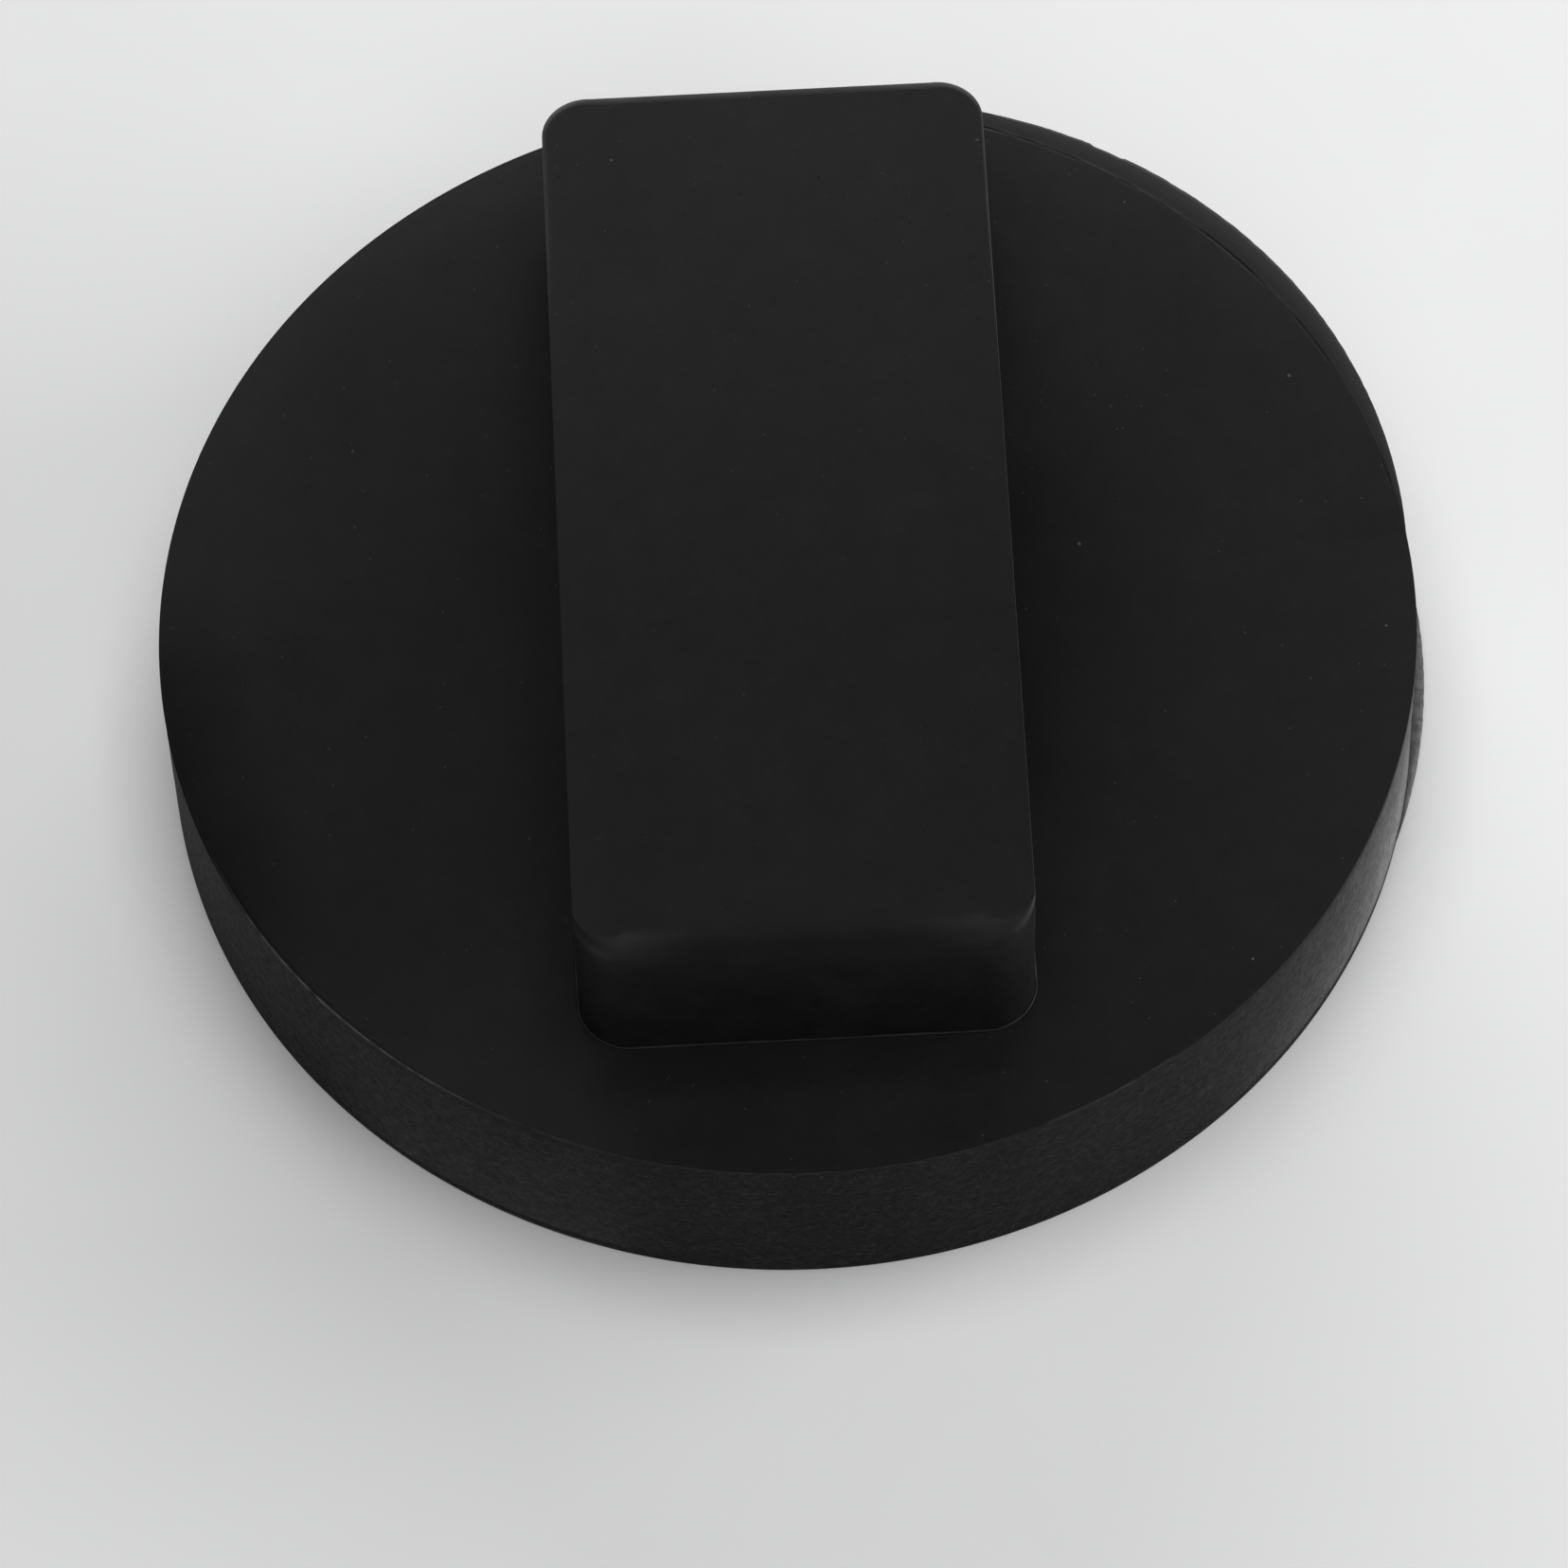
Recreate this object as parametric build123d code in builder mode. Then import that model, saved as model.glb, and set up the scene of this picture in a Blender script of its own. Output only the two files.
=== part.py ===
from build123d import *
import os

# Rubber jack pad: a thick round disc with a long rectangular block bonded into a shallow seat across
# its top face. The disc stands on a trolley jack's saddle and the block goes up into a car's jacking
# pocket. Origin at the centre of the disc's underside, +Z up, the block's long side along Y.
# All sizes are in millimetres.

# Driving dimensions
DISC_RADIUS = 35.0
DISC_THICKNESS = 11.2
BLOCK_WIDTH = 24.8  # along X
BLOCK_LENGTH = 56.05  # along Y
BLOCK_STAND = 9.8  # how far the block stands above the disc
BLOCK_CENTRE = (0.0, 1.375)  # the block sits a little off the disc's centre
CORNER_RADIUS = 2.8  # the block's four upright corners
NEAR_END_RADIUS = 1.75  # rounding across the end of the block's top towards -Y
FAR_END_RADIUS = 1.0  # rounding across the end towards +Y
SIDE_RADIUS = 0.25  # rounding along the two long edges of its top
SEAT_DEPTH = 1.5  # pocket in the disc that locates the block's foot
FILM = 0.15  # cement between the block and its seat

# Flash is the thin lip of rubber left where the moulded disc was trimmed off centre. Each lip is the
# part of an off-centre circle that falls outside the disc, and it thins away from the disc's face.
RIM_FLASH_CENTRE = (3.8, 4.0)
RIM_FLASH_RADIUS = 31.0
RIM_FLASH_THICKNESS = 0.7
FOOT_FLASH_CENTRE = (3.2, 2.75)
FOOT_FLASH_RADIUS = 32.9
FOOT_FLASH_THICKNESS = 0.6
FLASH_TAPER = 35.0  # degrees

# Levels worked out from the driving dimensions
SEAT_FLOOR = DISC_THICKNESS - SEAT_DEPTH
BLOCK_FOOT = SEAT_FLOOR + FILM
BLOCK_TOP = DISC_THICKNESS + BLOCK_STAND


def block_outline(level, margin=0.0):
    """Sketch of the block's plan shape at a level, grown all round by a margin."""
    with BuildSketch(Plane.XY.offset(level)) as outline:
        with Locations(BLOCK_CENTRE):
            RectangleRounded(BLOCK_WIDTH + 2 * margin, BLOCK_LENGTH + 2 * margin, CORNER_RADIUS + margin)
    return outline.sketch


def flash_outline(level, centre, radius):
    """Sketch of the off-centre circle that a lip of flash is trimmed to."""
    with BuildSketch(Plane.XY.offset(level)) as outline:
        with Locations(centre):
            Circle(radius)
    return outline.sketch


os.makedirs("parts", exist_ok=True)

# Disc: moulded rubber, with the lips of flash at its rim and foot, and the seat for the block
rim_flash = flash_outline(DISC_THICKNESS, RIM_FLASH_CENTRE, RIM_FLASH_RADIUS)
foot_flash = flash_outline(0.0, FOOT_FLASH_CENTRE, FOOT_FLASH_RADIUS)
seat_outline = block_outline(DISC_THICKNESS, FILM)
with BuildPart() as pad_disc:
    Cylinder(DISC_RADIUS, DISC_THICKNESS, align=(Align.CENTER, Align.CENTER, Align.MIN))
    extrude(rim_flash, amount=-RIM_FLASH_THICKNESS, taper=FLASH_TAPER)
    extrude(foot_flash, amount=FOOT_FLASH_THICKNESS, taper=FLASH_TAPER)
    extrude(seat_outline, amount=-SEAT_DEPTH, mode=Mode.SUBTRACT)
pad_disc.part.label = "pad_disc"
export_step(pad_disc.part, "parts/pad_disc.step")

# Cement film: a tray that lines the seat, whose upper edge shows as a hairline round the block's foot
film_outline = block_outline(SEAT_FLOOR, FILM)
foot_outline = block_outline(BLOCK_FOOT)
with BuildPart() as cement_film:
    extrude(film_outline, amount=SEAT_DEPTH)
    extrude(foot_outline, amount=SEAT_DEPTH - FILM, mode=Mode.SUBTRACT)
cement_film.part.label = "cement_film"
export_step(cement_film.part, "parts/cement_film.step")

# Block: moulded rubber, its foot in the seat. The two ends of its top are rounded as seen from the side,
# and its long edges are only just broken.
with BuildSketch(Plane.YZ.offset(-BLOCK_WIDTH)) as side_view:
    with Locations((BLOCK_CENTRE[1], (BLOCK_FOOT + BLOCK_TOP) / 2)):
        Rectangle(BLOCK_LENGTH, BLOCK_TOP - BLOCK_FOOT)
    fillet(side_view.vertices().group_by(Axis.Y)[-1].sort_by(Axis.X)[0], radius=NEAR_END_RADIUS)
    fillet(side_view.vertices().group_by(Axis.Y)[-1].sort_by(Axis.X)[-1], radius=FAR_END_RADIUS)
with BuildPart() as raised_block:
    extrude(foot_outline, amount=BLOCK_TOP - BLOCK_FOOT)
    fillet(raised_block.edges().group_by(Axis.Z)[-1], radius=SIDE_RADIUS)
    extrude(side_view.sketch, amount=2 * BLOCK_WIDTH, mode=Mode.INTERSECT)
raised_block.part.label = "raised_block"
export_step(raised_block.part, "parts/raised_block.step")
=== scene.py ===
import math

import bpy
import numpy as np
from mathutils import Matrix, Vector, noise


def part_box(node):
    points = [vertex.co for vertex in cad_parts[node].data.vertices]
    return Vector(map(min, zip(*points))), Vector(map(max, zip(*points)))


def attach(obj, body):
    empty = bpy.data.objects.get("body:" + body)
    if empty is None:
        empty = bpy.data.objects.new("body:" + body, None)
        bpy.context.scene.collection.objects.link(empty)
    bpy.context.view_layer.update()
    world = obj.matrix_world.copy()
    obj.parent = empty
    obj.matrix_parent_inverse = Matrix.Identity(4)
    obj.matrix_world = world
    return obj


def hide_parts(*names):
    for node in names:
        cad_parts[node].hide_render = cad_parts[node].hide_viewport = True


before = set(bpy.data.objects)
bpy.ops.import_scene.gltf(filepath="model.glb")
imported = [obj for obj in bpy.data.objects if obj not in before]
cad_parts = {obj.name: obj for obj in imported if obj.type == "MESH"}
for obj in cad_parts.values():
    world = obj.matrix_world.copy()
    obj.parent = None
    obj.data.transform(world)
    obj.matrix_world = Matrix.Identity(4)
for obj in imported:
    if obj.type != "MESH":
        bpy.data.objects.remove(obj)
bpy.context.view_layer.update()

# Looks for a rubber jack pad: a round disc with a long block cemented into a seat across its top.
# Everything is in metres, in the CAD frame. MM turns the many small sizes below into metres.
MM = 0.001

# ---- sizes read from the frame -----------------------------------------------------------------------
disc_low, disc_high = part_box("pad_disc")
block_low, block_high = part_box("raised_block")
film_low, film_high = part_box("cement_film")
DISC_RADIUS = -disc_low.x  # the flash is all on the +X, +Y side
WALL_RADIUS = DISC_RADIUS - 0.02 * MM  # leaves room for the wall's roughness
DISC_TOP = disc_high.z
BLOCK_CENTRE = ((block_low.x + block_high.x) / 2, (block_low.y + block_high.y) / 2)
BLOCK_HALF = ((block_high.x - block_low.x) / 2, (block_high.y - block_low.y) / 2)
BLOCK_FOOT, BLOCK_TOP = block_low.z, block_high.z
SEAT_FLOOR = film_low.z
FILM = block_low.x - film_low.x

# ---- sizes the frame's boxes don't give --------------------------------------------------------------
CORNER_RADIUS = 2.8 * MM  # the block's upright corners
NEAR_END_RADIUS = 1.75 * MM  # rounding across the near end of the block's top
FAR_END_RADIUS = 1.0 * MM  # rounding across its far end
SIDE_RADIUS = 0.2 * MM  # rounding towards the far ends of its long edges
CRISP_RADIUS = 0.05 * MM  # rounding along the rest of its long edges
CREASE_TURN = math.radians(84)  # the rounding meets the flat top in a faint crease, 6 degrees short
CROWN_START = 26.0 * MM  # the disc's face falls away a little outside this radius, except at its near side
CROWN_FALL = 0.13 * MM
BURR_HEIGHT = 0.07 * MM  # the hair of rubber that stands up along the near rim
DENT_DEPTH = 0.04 * MM  # behind the burr
GROOVE_DEPTH = 0.045 * MM  # between the face and the upper lip of flash
LIP_DROOP = 0.04 * MM  # of the upper lip's thin edge
NICK_DEPTH = 0.08 * MM  # of the nick in the upper lip
TEAR_DEPTH = 0.015 * MM  # how far the torn wall stands in or out
SEAT_RING_INSET = 2.6 * MM  # of the innermost rings under the block and the cement
CEMENT_CREST = 0.03 * MM  # how far the cement stands above the disc's face
ROUNDING_STEPS = 24  # rings over the rounding of the block's top
RIM_FLASH = {"centre": (3.8 * MM, 4.0 * MM), "radius": 31.0 * MM}
FOOT_FLASH = {"centre": (3.2 * MM, 2.75 * MM), "radius": 32.9 * MM}

# ---- the camera and the lights -----------------------------------------------------------------------
CAMERA_AZIMUTH = math.radians(-0.6)
CAMERA_ELEVATION = math.radians(59.5)
CAMERA_ROLL = math.radians(-2.3)
CAMERA_DISTANCE = 521 * MM
CAMERA_OFFSET = (-0.4 * MM, -3.5 * MM)  # sideways and upwards across the view
CAMERA_LENS = 211.0
PANEL_DISTANCE = 450 * MM

STEPS_ROUND = 900  # points round the disc, about a quarter of a millimetre apart at its rim


# ---- mesh helpers ------------------------------------------------------------------------------------
def mesh_from_rings(name, rings):
    """A closed skin over a stack of rings, each an (n, 3) array of points going round the same way.

    Its last two faces are the caps over the first and the last ring.
    """
    count, around = len(rings), len(rings[0])
    points = np.concatenate(rings)
    here = np.arange(around)
    after = (here + 1) % around
    faces = []
    for k in range(count - 1):
        low, high = k * around, (k + 1) * around
        quads = np.stack([low + here, low + after, high + after, high + here], axis=1)
        faces.extend(quads.tolist())
    faces.append(here[::-1].tolist())
    faces.append(((count - 1) * around + here).tolist())
    mesh = bpy.data.meshes.new(name)
    mesh.from_pydata(points.tolist(), [], faces)
    mesh.validate()
    mesh.update()
    piece = bpy.data.objects.new(name, mesh)
    bpy.context.scene.collection.objects.link(piece)
    return piece


def paint(piece, name, values):
    """Stores one number from 0 to 1 at every point of the mesh, for its material to read."""
    piece.data.attributes.new(name, "FLOAT", "POINT").data.foreach_set("value", np.clip(values, 0, 1))


def smooth(piece, sharp_degrees):
    """Smooth shading, broken where two faces meet at more than this angle."""
    piece.data.polygons.foreach_set("use_smooth", [True] * len(piece.data.polygons))
    piece.data.set_sharp_from_angle(angle=math.radians(sharp_degrees))


def ring_at(x, y, z):
    """One ring from plan coordinates and a height, which may be a single number."""
    return np.stack([x, y, np.broadcast_to(z, np.shape(x))], axis=1)


def wander(angles, scale, seed):
    """Smooth random values between about -1 and 1 that close up round the circle."""
    values = []
    for angle in angles:
        place = Vector((math.cos(angle) * scale, math.sin(angle) * scale, seed * 7.31))
        values.append(noise.fractal(place, 0.6, 2.1, 3))
    return np.array(values)


def window(angles, start, end, soft):
    """1 between two angles in degrees, fading to 0 over a soft margin in degrees at each end."""
    middle, half = math.radians((start + end) / 2), math.radians((end - start) / 2)
    away = np.abs((angles - middle + math.pi) % (2 * math.pi) - math.pi)
    return np.clip((half - away) / math.radians(soft) + 1, 0, 1)


def fade(value, start, end):
    """0 up to the start, 1 from the end on, and a straight fade between; the end may be the lower one."""
    return np.clip((value - start) / (end - start), 0, 1)


def eased(share):
    """Turns a straight fade from 0 to 1 into one that starts and ends gently."""
    return share**2 * (3 - 2 * share)


# ---- outlines ----------------------------------------------------------------------------------------
def block_outline(arc_steps=20, side_steps=(30, 64)):
    """Points and outward normals round the block's plan shape, anticlockwise, as (n, 2) arrays."""
    half = np.array(BLOCK_HALF) - CORNER_RADIUS
    points, normals = [], []
    for quarter in range(4):
        turn = math.radians(90 * quarter)
        sign = np.sign([math.cos(turn + math.pi / 4), math.sin(turn + math.pi / 4)])
        corner = sign * half
        for step in range(arc_steps + 1):
            angle = turn + math.pi / 2 * step / arc_steps
            normal = np.array([math.cos(angle), math.sin(angle)])
            points.append(corner + CORNER_RADIUS * normal)
            normals.append(normal)
        following = np.roll(sign, 1) * [-1, 1]
        target = following * half + CORNER_RADIUS * normals[-1]
        start, steps = points[-1], side_steps[quarter % 2]
        for step in range(1, steps):
            points.append(start + (target - start) * step / steps)
            normals.append(normals[-1])
    return np.array(points) + BLOCK_CENTRE, np.array(normals)


def reach_of_block(angles, margin):
    """Distance from the disc's axis to the block's outline, grown by a margin, along each angle."""
    away = np.stack([np.cos(angles), np.sin(angles)], axis=1)
    half = np.array(BLOCK_HALF) - CORNER_RADIUS
    near, far = np.zeros(len(angles)), np.full(len(angles), DISC_RADIUS)
    for _ in range(40):
        middle = (near + far) / 2
        beyond = np.abs(away * middle[:, None] - BLOCK_CENTRE) - half
        outside = np.linalg.norm(np.maximum(beyond, 0), axis=1) + np.minimum(beyond.max(axis=1), 0)
        within = outside < CORNER_RADIUS + margin
        near, far = np.where(within, middle, near), np.where(within, far, middle)
    return near


def flash_width(angles, flash):
    """How far an off-centre circle reaches past the disc along each angle, and 0 where it doesn't."""
    cx, cy = flash["centre"]
    along = cx * np.cos(angles) + cy * np.sin(angles)
    across = cx * np.sin(angles) - cy * np.cos(angles)
    reach = along + np.sqrt(flash["radius"] ** 2 - across**2)
    return np.maximum(reach - DISC_RADIUS, 0)


# ---- the disc ----------------------------------------------------------------------------------------
def make_disc():
    """The disc, from the floor of its seat out over the face, down the wall and back under it."""
    angles = np.linspace(-math.pi, math.pi, STEPS_ROUND, endpoint=False)
    cos, sin = np.cos(angles), np.sin(angles)
    seat = reach_of_block(angles, FILM)
    edge = WALL_RADIUS

    # the lips of flash, each a little ragged, with a nick in the upper one
    rim = flash_width(angles, RIM_FLASH) * (0.98 + 0.02 * wander(angles, 60, 1))
    rim = np.maximum(rim - NICK_DEPTH * window(angles, 55.5, 58.5, 0.3), 0)
    foot = flash_width(angles, FOOT_FLASH) * (0.97 + 0.03 * wander(angles, 90, 2))
    lipped = fade(rim, 0, 0.2 * MM)
    # the burr, a hair of rubber that stands up along stretches of the near rim, with a dent behind it
    stretches = window(angles, -150, -128, 8)
    stretches = stretches + 0.25 * window(angles, -120, -72, 4) + 0.4 * window(angles, -67, -57, 3)
    ragged = np.clip(0.75 + 0.8 * wander(angles, 45, 3), 0, 1)
    burr = BURR_HEIGHT * stretches * ragged
    # a painted highlight along the burr
    burr_painted_highlight = 0.9 * stretches * ragged
    dent = DENT_DEPTH * stretches * (1 - 0.4 * ragged)
    # the groove that the trimming left between the face and the upper lip
    crack = lipped * np.clip(0.5 + 1.3 * wander(angles, 7, 4), 0.05, 1)
    groove = GROOVE_DEPTH * crack
    droop = LIP_DROOP * fade(rim, 0, 1.0 * MM)

    fall = CROWN_FALL * (1 - window(angles, -135, -52, 14)) * (1 - 0.7 * lipped)
    # painted light: the face is paler towards the rim at the far, right and left sides, and in a narrow band
    # all along the far rim; painted light also lifts the shade at the block's foot on its near and left sides
    film = 0.045 * window(angles, -25, 95, 25) + 0.085 * window(angles, 115, 170, 14)
    film = film + 0.05 * window(angles, -128, -112, 10)
    at_rim = 0.06 * window(angles, 40, 140, 30)
    at_foot = 0.09 * window(angles, -112, -68, 6) + 0.02 * window(angles, 150, 210, 20)

    def crowned(radius):
        return DISC_TOP - fall * fade(radius, CROWN_START, DISC_RADIUS) ** 2

    # the painted light at each radius
    def painted_paling(radius):
        dust = film * fade(radius, 16 * MM, DISC_RADIUS) ** 1.5 + at_rim * fade(radius, 31 * MM, DISC_RADIUS)
        return dust + at_foot * fade(radius, seat + 2.2 * MM, seat)

    # every ring is a radius, a height and how pale the rubber is there, from painted light and, on the wall,
    # scuffing
    face, trimmed = [], []
    for share in (0.25, 0.6, 0.97, 1.0):
        face.append((seat * share, SEAT_FLOOR, 0))
    face.append((seat, DISC_TOP - 0.03 * MM, 0))
    for outset in (0.03, 0.05):
        face.append((seat + outset * MM, DISC_TOP, at_foot))
    for share in np.linspace(0.04, 1, 20):
        radius = seat + (edge - 1.2 * MM - seat) * share
        face.append((radius, crowned(radius), painted_paling(radius)))
    for inset in (0.8, 0.55, 0.38, 0.3):
        face.append((edge - inset * MM, crowned(edge - inset * MM), painted_paling(edge - inset * MM)))
    # over the dent or the groove, and up over the burr
    brink = crowned(edge)
    across = (
        # inset, share of the groove, share of the dent, share of the burr
        (0.22, 0, 0.3, 0),
        (0.16, 0.15, 1, 0),
        (0.11, 0.7, 0.6, 0.2),
        (0.06, 1, 0.1, 0.85),
        (0.03, 0.8, 0, 1),
    )
    # these rings keep the face's painted light, and over the burr add its painted highlight
    for inset, of_groove, of_dent, of_burr in across:
        height = brink - of_groove * groove - of_dent * dent + of_burr * burr
        face.append((edge - inset * MM, height, film + at_rim + of_burr * burr_painted_highlight))
    # the rim's edge has the burr's painted highlight and a little painted light where the upper lip begins
    edge_height = brink - 0.2 * groove - 0.01 * MM + 0.8 * burr
    face.append((edge, edge_height, 0.9 * burr_painted_highlight + 0.05 * lipped))
    # out along the smooth top of the lip, round its thin edge and back under it to the wall
    # painted light pales the lip's top, more towards its thin edge, and a little round that edge
    for share in (0.06, 0.2, 0.4, 0.6, 0.8, 0.93):
        height = brink - 0.03 * MM - share * droop + 0.3 * burr
        face.append((edge + 0.02 * MM + share * rim, height, (0.09 + 0.36 * share) * lipped))
    for share, drop, fold in ((1.0, 0.08, 1.4), (0.93, 0.14, 2.0), (0.5, 0.2, 3.0), (0.1, 0.3, 4.0)):
        trimmed.append((edge + share * rim, brink - drop * MM - fold * droop, 0.08 * share * lipped))
    # the wall, roughened by the trimming
    wall_top, wall_foot = DISC_TOP - 0.9 * MM, 0.75 * MM
    # the wall is paled at its right end partly by chalky scuffing and partly by painted glare, and a little
    # at the near left by painted light; painted light makes the paling grow towards the foot
    pale = 0.36 * eased(window(angles, -18, 8, 36)) + 0.4 * eased(window(angles, -12, 4, 22))
    pale = pale * (1 + 0.12 * wander(angles, 12, 7)) + 0.07 * window(angles, -130, -112, 10)
    for height in np.linspace(wall_top, wall_foot, 46):
        down = 1 - height / DISC_TOP
        painted_light_below = 0.5 + 0.5 * down + 1.1 * down**2
        trimmed.append((edge + TEAR_DEPTH * tear(cos, sin, height), height, pale * painted_light_below))
    # the lip at the foot and the foot's slightly worn edge, both paled by painted highlights
    foot_painted_highlight = window(angles, -140, -112, 5) * np.clip(0.8 + 0.8 * wander(angles, 50, 6), 0, 1)
    lip_painted_highlight = fade(foot, 0, 0.3 * MM) * (0.3 + 0.6 * window(angles, -20, 4, 10))
    for share, height in ((0.1, 0.6), (0.45, 0.42), (0.85, 0.3), (1.0, 0.18), (0.99, 0.09)):
        scuff_and_painted_light = share * np.maximum(lip_painted_highlight, (height < 0.2) * 0.5 * foot_painted_highlight)
        trimmed.append((edge + share * foot, height * MM, scuff_and_painted_light))
    trimmed.append((edge - 0.06 * MM + 0.97 * foot, 0.02 * MM, 0.5 * foot_painted_highlight))
    trimmed.append((edge - 0.15 * MM + 0.95 * foot, 0.0, 0))

    under = [(edge * share, 0.0, 0) for share in (0.985, 0.9, 0.7, 0.45, 0.2, 0.03)]
    stack = face + trimmed + under
    rings = [ring_at(radius * cos, radius * sin, height) for radius, height, _ in stack]
    disc = mesh_from_rings("disc", rings)
    smooth(disc, 50)
    # the trimmed bands take the disc's second material
    bands = np.zeros(len(rings) - 1, dtype=int)
    bands[len(face) - 1 : len(face) + len(trimmed) - 1] = 1
    caps = [0, 0]
    disc.data.polygons.foreach_set("material_index", np.repeat(bands, STEPS_ROUND).tolist() + caps)
    paint(disc, "scuff_and_painted_light", np.concatenate([np.broadcast_to(scuff_and_painted_light, STEPS_ROUND) for _, _, scuff_and_painted_light in stack]))
    # painted shadow towards the rim and down the wall at the left and beside the block at the right, and
    # painted shade in the groove
    radii = np.array([np.broadcast_to(radius, STEPS_ROUND) for radius, _, _ in stack])
    at_left = eased(window(angles, -170, -157, 18))
    painted_shade_amount = 0.7 * at_left * fade(radii, 29.5 * MM, 34.5 * MM)
    at_right = eased(window(angles, -35, 25, 20))
    painted_shade_amount = painted_shade_amount + 0.4 * at_right * fade(radii, seat + 11 * MM, seat)
    in_groove = (radii > edge - 0.115 * MM) & (radii < edge - 0.005 * MM)
    painted_shade_amount = painted_shade_amount + 0.6 * crack * in_groove
    paint(disc, "painted_shade", painted_shade_amount.ravel())
    return disc


def tear(cos, sin, height):
    """How far the torn wall stands in or out at one height, between about -1 and 1."""
    at = [Vector((c * 60, s * 60, height / MM * 2.2)) for c, s in zip(cos, sin)]
    return np.clip([noise.fractal(place, 0.7, 2.1, 4) for place in at], -1, 1)


# ---- the block ---------------------------------------------------------------------------------------
def make_block():
    """The block: its foot in the seat, upright walls, rounded ends and nearly sharp sides."""
    points, normals = block_outline()
    # the rounding is slight along the sides, and grows steadily as each corner is turned
    radius = CRISP_RADIUS + (SIDE_RADIUS - CRISP_RADIUS) * fade(points[:, 1], 10 * MM, 20 * MM)
    turned = np.arcsin(np.clip(normals[:, 1], -1, 1)) / (math.pi / 2)
    radius = radius + (FAR_END_RADIUS - radius) * np.clip(turned, 0, 1)
    radius = radius + (NEAR_END_RADIUS - radius) * np.clip(-turned, 0, 1)

    # the top of the near rounding gets a painted highlight, most towards its corners, and so does the far
    # part of the left edge; painted shade darkens the foot of the near rounding and all of the far one
    near_turn, far_turn = np.clip(-turned, 0, 1), np.clip(turned, 0, 1)
    corner_painted_highlight = near_turn * fade(np.abs(points[:, 0]), 4.5 * MM, 10 * MM) ** 2
    left_edge_painted_highlight = np.clip(-normals[:, 0], 0, 1) * fade(points[:, 1], 12 * MM, 20 * MM)
    rings, painted_highlights, painted_shades = [], [], []

    def add_ring(inset, height, scuff_and_painted_light=0.0, near_painted_shade=0.0, far_painted_shade=0.0):
        plan = points - normals * np.reshape(inset, (-1, 1))
        rings.append(ring_at(plan[:, 0], plan[:, 1], height))
        painted_highlights.append((0.02 * near_turn + 0.19 * corner_painted_highlight + 0.4 * left_edge_painted_highlight) * scuff_and_painted_light)
        painted_shades.append(near_turn * near_painted_shade + far_turn * far_painted_shade)

    add_ring(SEAT_RING_INSET, BLOCK_FOOT)
    add_ring(0.3 * MM, BLOCK_FOOT)
    add_ring(0.0, BLOCK_FOOT + 0.02 * MM)
    wall_end = BLOCK_TOP - radius
    for share in (0.1, 0.2, 0.35, 0.5, 0.65, 0.8, 0.92, 0.98, 1.0):
        add_ring(0.0, BLOCK_FOOT + (wall_end - BLOCK_FOOT) * share)
    for step in range(1, ROUNDING_STEPS + 1):
        turn = CREASE_TURN * step / ROUNDING_STEPS
        rise = math.sin(turn) / math.sin(CREASE_TURN)
        # each ring of the rounding gets its share of painted highlight and painted shade
        scuff_and_painted_light = fade(step, 6, 12) * fade(step, 32, 20)
        near_painted_shade = 0.35 * min(fade(step, 0, 4), fade(step, 19, 13))
        far_painted_shade = fade(step, 25, 21)
        add_ring(radius * (1 - math.cos(turn)), wall_end + radius * rise, scuff_and_painted_light, near_painted_shade, far_painted_shade)
    # a faint painted highlight just inside the crease
    for inset, scuff_and_painted_light in ((0.03, 0.3), (0.1, 0.1), (0.3, 0.0), (0.6, 0.0)):
        add_ring(radius * (1 - math.cos(CREASE_TURN)) + inset * MM, BLOCK_TOP, scuff_and_painted_light)
    block = mesh_from_rings("block", rings)
    smooth(block, 50)
    paint(block, "scuff_and_painted_light", np.concatenate(painted_highlights))
    paint(block, "painted_shade", np.concatenate(painted_shades))
    return block


# ---- the cement --------------------------------------------------------------------------------------
def make_cement():
    """The film of cement that lines the seat. Its upper edge is the hairline round the block's foot."""
    points, normals = block_outline()
    turn = np.arctan2(points[:, 1], points[:, 0])
    uneven = wander(turn, 50, 5)

    def ring(outset, height):
        plan = points + normals * outset
        return ring_at(plan[:, 0], plan[:, 1], height)

    crest = DISC_TOP + CEMENT_CREST * (1 + np.clip(uneven, -1, 1))
    rings = [
        ring(-SEAT_RING_INSET, SEAT_FLOOR),
        ring(FILM, SEAT_FLOOR),
        ring(FILM, DISC_TOP - 0.02 * MM),
        ring(FILM * 0.7, crest),
        ring(FILM * 0.25, crest + 0.01 * MM),
        ring(0.0, DISC_TOP),
        ring(0.0, BLOCK_FOOT),
        ring(-SEAT_RING_INSET, BLOCK_FOOT),
    ]
    cement = mesh_from_rings("cement", rings)
    smooth(cement, 50)
    return cement


# ---- materials ---------------------------------------------------------------------------------------
PALE_DUST_AND_PAINTED_LIGHT = (0.055, 0.055, 0.056, 1)  # moulded rubber at its palest, for its pale films and its painted light
TORN_SCUFF_AND_PAINTED_LIGHT = (0.140, 0.140, 0.142, 1)  # the same for the trimmed wall and the lip at its foot, for chalky scuffing and painted light
SPECKS = (
    # cells per metre, dot radius and share of cells with one (both of 1), brightness
    (480.0, 0.06, 0.2, 0.06),
    (1300.0, 0.10, 0.35, 0.028),
    (1000.0, 0.10, 0.4, 0.0012),
)
SPECKS_WHERE_CLEAN = 0.35  # share of the specks left where a dusty piece has no film of dust
SPECKS_WITH_DUST = 9.0  # how fast they come back as the film thickens


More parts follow.
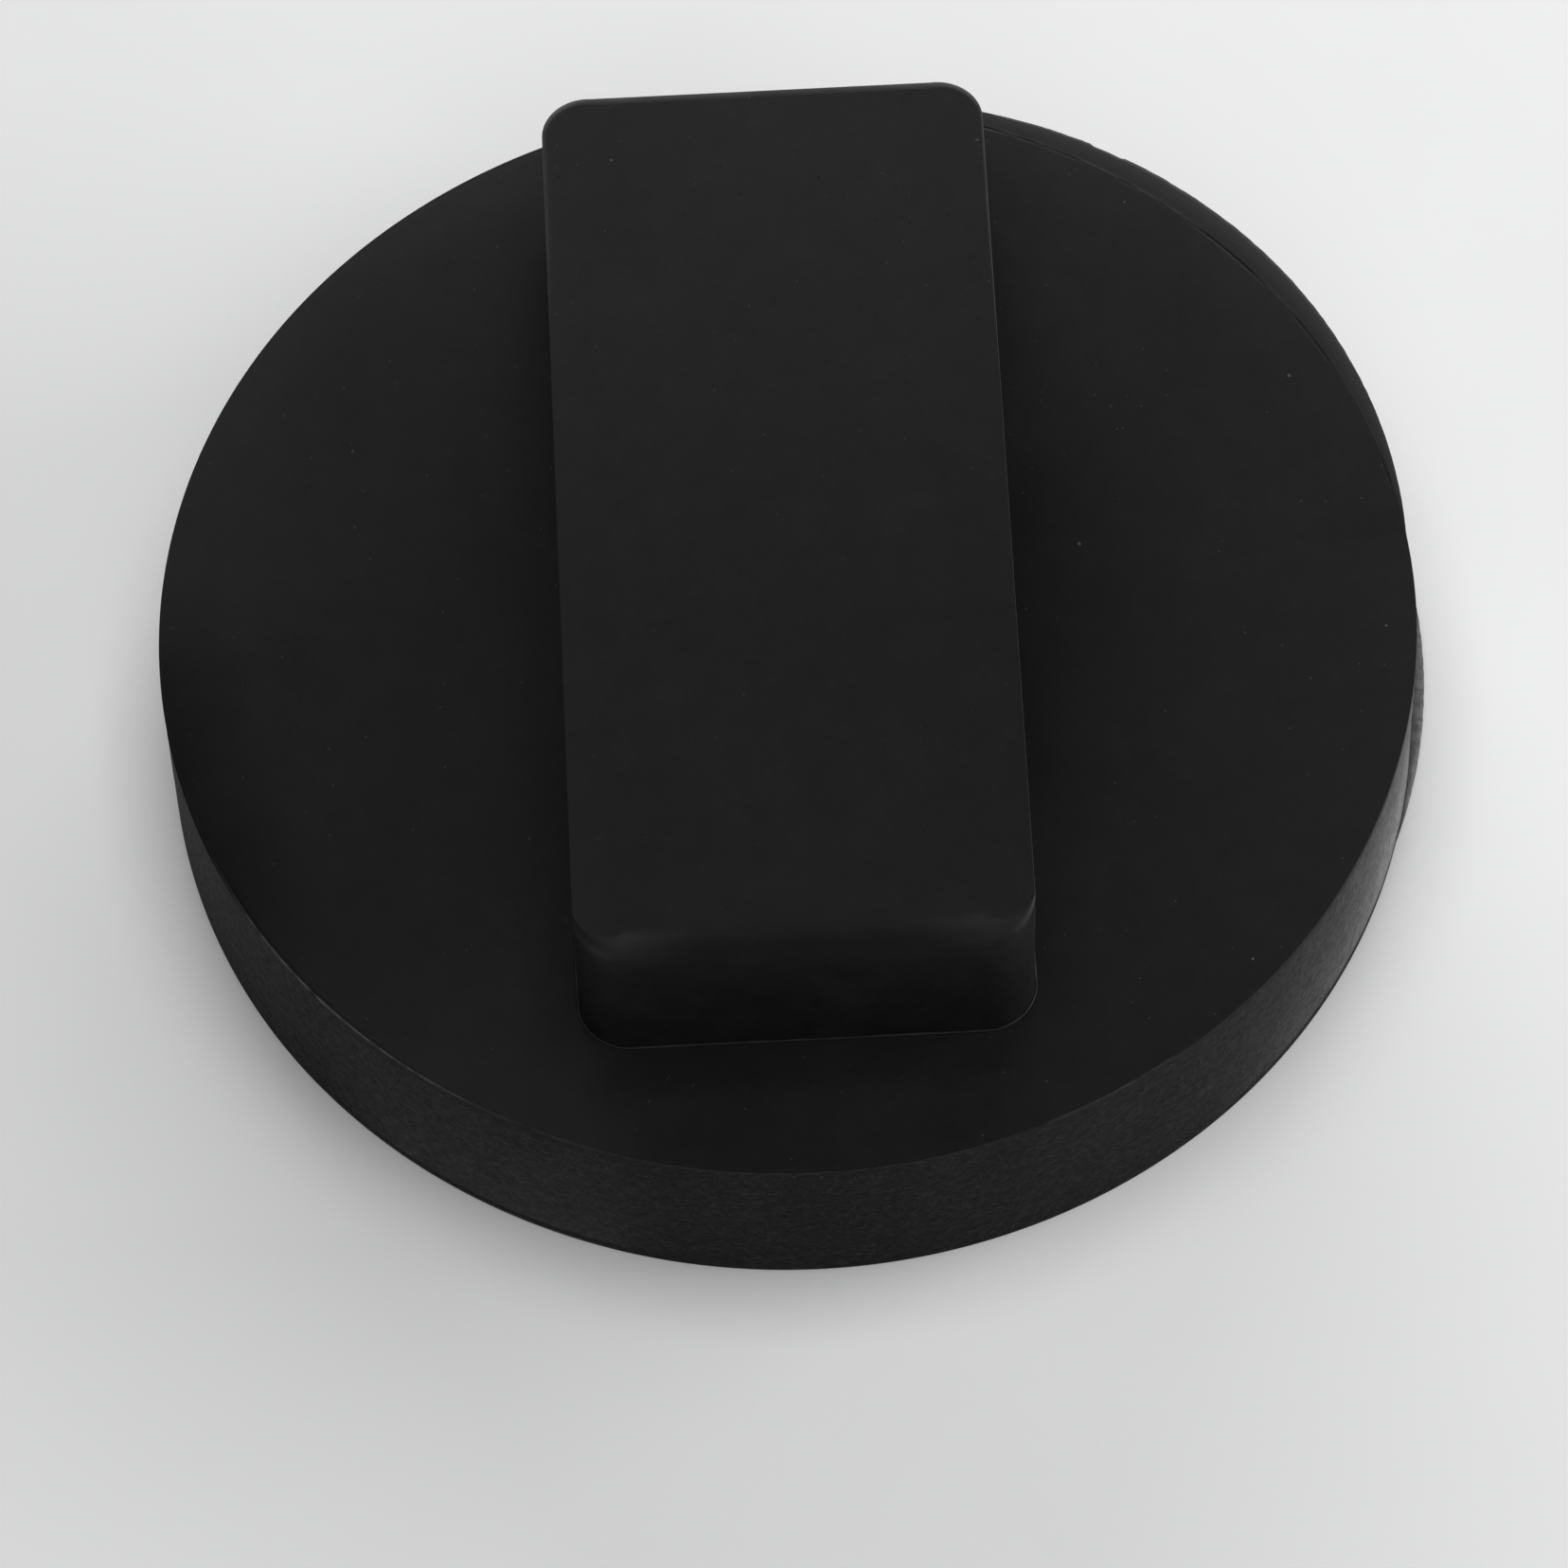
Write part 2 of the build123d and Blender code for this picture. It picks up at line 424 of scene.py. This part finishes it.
class Nodes:
    """A new material and short calls for adding and joining its nodes."""

    def __init__(self, name):
        self.material = bpy.data.materials.new(name)
        self.material.use_nodes = True
        self.tree = self.material.node_tree
        self.shader = self.tree.nodes["Principled BSDF"]
        self.coords = self.tree.nodes.new("ShaderNodeTexCoord").outputs["Object"]

    def add(self, kind, **settings):
        node = self.tree.nodes.new(kind)
        for key, value in settings.items():
            if hasattr(node, key):
                setattr(node, key, value)
            else:
                node.inputs[key.replace("_", " ")].default_value = value
        return node

    def join(self, output, socket):
        self.tree.links.new(output, socket)

    def noise(self, scale, stretch=(1, 1, 1), turn=(0, 0, 0), detail=4.0, roughness=0.55, warp=0.0):
        """A noise whose scale is features per metre, stretched and turned."""
        mapping = self.add("ShaderNodeMapping")
        mapping.inputs["Scale"].default_value = stretch
        mapping.inputs["Rotation"].default_value = turn
        self.join(self.coords, mapping.inputs["Vector"])
        node = self.add("ShaderNodeTexNoise", Scale=scale, Detail=detail, Roughness=roughness)
        node.inputs["Distortion"].default_value = warp
        self.join(mapping.outputs["Vector"], node.inputs["Vector"])
        return node.outputs["Fac"]

    def ramp(self, source, stops):
        """A ramp of greys: stops are (position, brightness)."""
        node = self.add("ShaderNodeValToRGB")
        elements = node.color_ramp.elements
        while len(elements) < len(stops):
            elements.new(0.5)
        for element, (position, value) in zip(elements, stops):
            element.position = position
            element.color = (value, value, value, 1)
        self.join(source, node.inputs["Fac"])
        return node.outputs["Color"]

    def mix(self, kind, factor, first, second):
        """Mixes two colours; factor, first and second are numbers, colours or sockets."""
        node = self.add("ShaderNodeMix", data_type="RGBA", blend_type=kind)
        for index, value in ((0, factor), (6, first), (7, second)):
            if isinstance(value, bpy.types.NodeSocket):
                self.join(value, node.inputs[index])
            else:
                node.inputs[index].default_value = value
        return node.outputs[2]

    def specks(self, scale, size, share):
        """Scattered round dots: cells per metre, dot radius and the share of cells with one, both of 1."""
        cells = self.add("ShaderNodeTexVoronoi", Scale=scale)
        self.join(self.coords, cells.inputs["Vector"])
        near = self.ramp(cells.outputs["Distance"], [(size * 0.5, 1.0), (size, 0.0)])
        chosen = self.ramp(cells.outputs["Color"], [(0.98 - share, 0.0), (1.0 - share, 1.0)])
        return self.mix("MULTIPLY", 1.0, near, chosen)

    def bump(self, height, distance, strength=1.0, after=None):
        node = self.add("ShaderNodeBump", Strength=strength, Distance=distance)
        self.join(height, node.inputs["Height"])
        if after is not None:
            self.join(after, node.inputs["Normal"])
        return node.outputs["Normal"]


def moulded_rubber(name, pale_films=()):
    """Smooth moulded black rubber: cloudy mottle, fine grain, specks of dust, pits, the places paled by
    painted light and those darkened by painted shade.

    Each entry of pale_films is an axis, the two places along it where a pale film, with more specks, is
    thickest and where it has faded to nothing, and its amount.
    """
    n = Nodes(name)
    shader = n.shader
    mottle = n.ramp(n.noise(90, detail=5), [(0.3, 0.0031), (0.7, 0.0043)])
    clouds = n.ramp(n.noise(420, detail=5, roughness=0.6), [(0.3, 0.77), (0.7, 1.25)])
    grain = n.ramp(n.noise(2600, detail=2), [(0.3, 0.82), (0.75, 1.20)])
    colour = n.mix("MULTIPLY", 1.0, n.mix("MULTIPLY", 1.0, mottle, clouds), grain)
    density = None
    place = n.add("ShaderNodeSeparateXYZ")
    n.join(n.coords, place.inputs[0])
    for axis, thick, gone, amount in pale_films:
        film = n.add("ShaderNodeMapRange", From_Min=thick, From_Max=gone, To_Min=amount, To_Max=0.0)
        n.join(place.outputs[axis], film.inputs["Value"])
        colour = n.mix("MIX", film.outputs["Result"], colour, PALE_DUST_AND_PAINTED_LIGHT)
        thicker = n.add("ShaderNodeMath", operation="MULTIPLY_ADD", use_clamp=True)
        n.join(film.outputs["Result"], thicker.inputs[0])
        thicker.inputs[1].default_value = SPECKS_WITH_DUST
        if density is None:
            thicker.inputs[2].default_value = SPECKS_WHERE_CLEAN
        else:
            n.join(density, thicker.inputs[2])
        density = thicker.outputs[0]
    for scale, size, share, tint in SPECKS:
        speck = n.specks(scale, size, share)
        if density is not None:
            speck = n.mix("MULTIPLY", 1.0, speck, density)
        colour = n.mix("MIX", speck, colour, (tint, tint, tint, 1))
    # painted light pales the rubber where the mesh's attribute says
    scuff_and_painted_light = n.add("ShaderNodeAttribute", attribute_name="scuff_and_painted_light").outputs["Fac"]
    colour = n.mix("MIX", scuff_and_painted_light, colour, PALE_DUST_AND_PAINTED_LIGHT)
    # painted shade darkens the rubber and dulls its shine
    painted_shade = n.add("ShaderNodeAttribute", attribute_name="painted_shade").outputs["Fac"]
    n.join(n.mix("MULTIPLY", painted_shade, colour, (0.45, 0.45, 0.45, 1)), shader.inputs["Base Color"])
    n.join(n.ramp(painted_shade, [(0.0, 0.1), (1.0, 0.04)]), shader.inputs["Specular IOR Level"])
    rough = n.ramp(n.noise(160, stretch=(1, 0.25, 1), turn=(0, 0, 0.5), detail=4), [(0.3, 0.49), (0.7, 0.59)])
    clouded = n.ramp(n.noise(600, detail=4), [(0.3, 0.95), (0.7, 1.05)])
    n.join(n.mix("MULTIPLY", 1.0, rough, clouded), shader.inputs["Roughness"])
    fine = n.bump(n.noise(5200, detail=2), 0.01 * MM, 0.35)
    soft = n.bump(n.noise(700, detail=3), 0.02 * MM, 0.5, fine)
    n.join(soft, shader.inputs["Normal"])
    return n.material


def trimmed_rubber():
    """The wall left by trimming: a fine torn grain, short curling wisps, and chalky grey paling, partly
    scuffs and partly painted light.
    """
    n = Nodes("trimmed_rubber")
    shader = n.shader
    shader.inputs["Specular IOR Level"].default_value = 0.038
    grain = n.noise(2400, stretch=(1, 1, 1.4), detail=3, roughness=0.65)
    shade = n.ramp(grain, [(0.3, 0.0058), (0.52, 0.0078), (0.72, 0.0110)])
    patches = n.ramp(n.noise(240, detail=3), [(0.3, 0.85), (0.7, 1.15)])
    shade = n.mix("MULTIPLY", 1.0, shade, patches)
    # wisps lie where a noise crosses its middle, and a second noise cuts them short
    curls = n.ramp(n.noise(1500, detail=1.5, warp=0.5), [(0.465, 0.0), (0.5, 1.0), (0.535, 0.0)])
    kept = n.ramp(n.noise(1900, turn=(0.7, 0.4, 0.2), detail=1), [(0.52, 0.0), (0.62, 1.0)])
    wisps = n.mix("MULTIPLY", 1.0, curls, kept)
    shade = n.mix("MIX", wisps, shade, (0.0175, 0.0175, 0.0178, 1))
    # scuffing and painted light pale the high places of the grain most
    scuff_and_painted_light = n.add("ShaderNodeAttribute", attribute_name="scuff_and_painted_light").outputs["Fac"]
    chalk_and_painted_light = n.mix("MULTIPLY", 1.0, scuff_and_painted_light, n.ramp(grain, [(0.3, 0.5), (0.68, 1.0)]))
    chalk_and_painted_light = n.mix("MULTIPLY", 1.0, chalk_and_painted_light, n.ramp(n.noise(700, detail=3), [(0.35, 0.72), (0.6, 1.0)]))
    shade = n.mix("MIX", chalk_and_painted_light, shade, TORN_SCUFF_AND_PAINTED_LIGHT)
    # painted shade darkens the wall where the mesh's attribute says
    painted_shade = n.add("ShaderNodeAttribute", attribute_name="painted_shade").outputs["Fac"]
    n.join(n.mix("MULTIPLY", painted_shade, shade, (0.7, 0.7, 0.7, 1)), shader.inputs["Base Color"])
    n.join(n.ramp(grain, [(0.35, 0.68), (0.65, 0.54)]), shader.inputs["Roughness"])
    coarse = n.bump(grain, 0.06 * MM, 0.5)
    n.join(n.bump(wisps, 0.03 * MM, 0.5, coarse), shader.inputs["Normal"])
    return n.material


def dried_cement():
    """Rubber cement, dried to a dull grey along the joint."""
    n = Nodes("dried_cement")
    shader = n.shader
    shader.inputs["Specular IOR Level"].default_value = 0.1
    patches = n.noise(500, detail=3)
    n.join(n.ramp(patches, [(0.3, 0.008), (0.7, 0.018)]), shader.inputs["Base Color"])
    n.join(n.ramp(patches, [(0.3, 0.5), (0.7, 0.7)]), shader.inputs["Roughness"])
    n.join(n.bump(n.noise(2500), 0.02 * MM, 0.5), shader.inputs["Normal"])
    return n.material


def floor_material():
    """Matt, nearly white paper."""
    n = Nodes("floor_paper")
    tone = n.ramp(n.noise(30, detail=3), [(0.3, 0.80), (0.7, 0.82)])
    n.join(tone, n.shader.inputs["Base Color"])
    n.shader.inputs["Roughness"].default_value = 0.8
    n.shader.inputs["Specular IOR Level"].default_value = 0.2
    return n.material


# ---- the stage ---------------------------------------------------------------------------------------
def make_stage():
    """A plain pale floor, a dim even surround, low soft panels all round but brightest at the far end, and
    two soft panels above."""
    half = 3.0
    mesh = bpy.data.meshes.new("floor")
    corners = [(-half, -half, 0), (half, -half, 0), (half, half, 0), (-half, half, 0)]
    mesh.from_pydata(corners, [], [(0, 1, 2, 3)])
    floor = bpy.data.objects.new("floor", mesh)
    floor.data.materials.append(floor_material())
    bpy.context.scene.collection.objects.link(floor)

    world = bpy.data.worlds.new("studio")
    world.use_nodes = True
    background = world.node_tree.nodes["Background"]
    background.inputs["Color"].default_value = (0.95, 0.97, 1.0, 1)
    background.inputs["Strength"].default_value = 0.065
    bpy.context.scene.world = world

    panel("far_panel", 90, 12, (0.5, 0.15), 2.64)
    panel("right_panel", 8, 9, (0.3, 0.12), 2.1)
    panel("near_right_panel", -30, 8, (0.25, 0.1), 0.85)
    panel("near_left_panel", -122, 8, (0.25, 0.1), 0.64)
    panel("near_high_panel", -90, 50, (0.3, 0.25), 0.24)
    panel("top_panel", 90, 89, (0.3, 0.3), 0.87)


def panel(name, azimuth, elevation, size, watts):
    """A soft rectangular light that faces the object, from a direction in degrees."""
    turn, rise = math.radians(azimuth), math.radians(elevation)
    away = Vector((math.cos(turn) * math.cos(rise), math.sin(turn) * math.cos(rise), math.sin(rise)))
    light = bpy.data.lights.new(name, "AREA")
    light.shape = "RECTANGLE"
    light.size, light.size_y = size
    light.energy = watts
    lamp = bpy.data.objects.new(name, light)
    lamp.location = away * PANEL_DISTANCE
    lamp.rotation_euler = away.to_track_quat("Z", "Y").to_euler()
    bpy.context.scene.collection.objects.link(lamp)


def make_camera():
    """The camera, turned about the object's origin and then rolled about its own line of sight."""
    cos_a, sin_a = math.cos(CAMERA_AZIMUTH), math.sin(CAMERA_AZIMUTH)
    cos_e, sin_e = math.cos(CAMERA_ELEVATION), math.sin(CAMERA_ELEVATION)
    back = Vector((sin_a * cos_e, -cos_a * cos_e, sin_e))
    level = Vector((cos_a, sin_a, 0))
    upright = back.cross(level)
    across = math.cos(CAMERA_ROLL) * level + math.sin(CAMERA_ROLL) * upright
    up = math.cos(CAMERA_ROLL) * upright - math.sin(CAMERA_ROLL) * level
    place = back * CAMERA_DISTANCE + across * CAMERA_OFFSET[0] + up * CAMERA_OFFSET[1]
    camera = bpy.data.objects.new("camera", bpy.data.cameras.new("camera"))
    camera.data.lens = CAMERA_LENS
    camera.data.clip_start = 0.01
    camera.matrix_world = Matrix.Translation(place) @ Matrix((across, up, back)).transposed().to_4x4()
    bpy.context.scene.collection.objects.link(camera)
    bpy.context.scene.camera = camera


# ---- putting it together -----------------------------------------------------------------------------
bpy.context.scene.view_settings.view_transform = "Standard"
make_camera()
make_stage()

disc = make_disc()
disc.data.materials.append(moulded_rubber("moulded_rubber_disc"))
disc.data.materials.append(trimmed_rubber())
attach(disc, "root")
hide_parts("pad_disc")

block = make_block()
# a little dust, with more specks, along the top's left side; the top is paler, with more specks, towards its
# far end
left_dust = ("X", block_low.x, block_low.x + 2.4 * MM, 0.02)
far_paling = ("Y", block_high.y, -6 * MM, 0.125)
block.data.materials.append(moulded_rubber("moulded_rubber_block", (left_dust, far_paling)))
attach(block, "root")
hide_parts("raised_block")

cement = make_cement()
cement.data.materials.append(dried_cement())
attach(cement, "root")
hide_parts("cement_film")
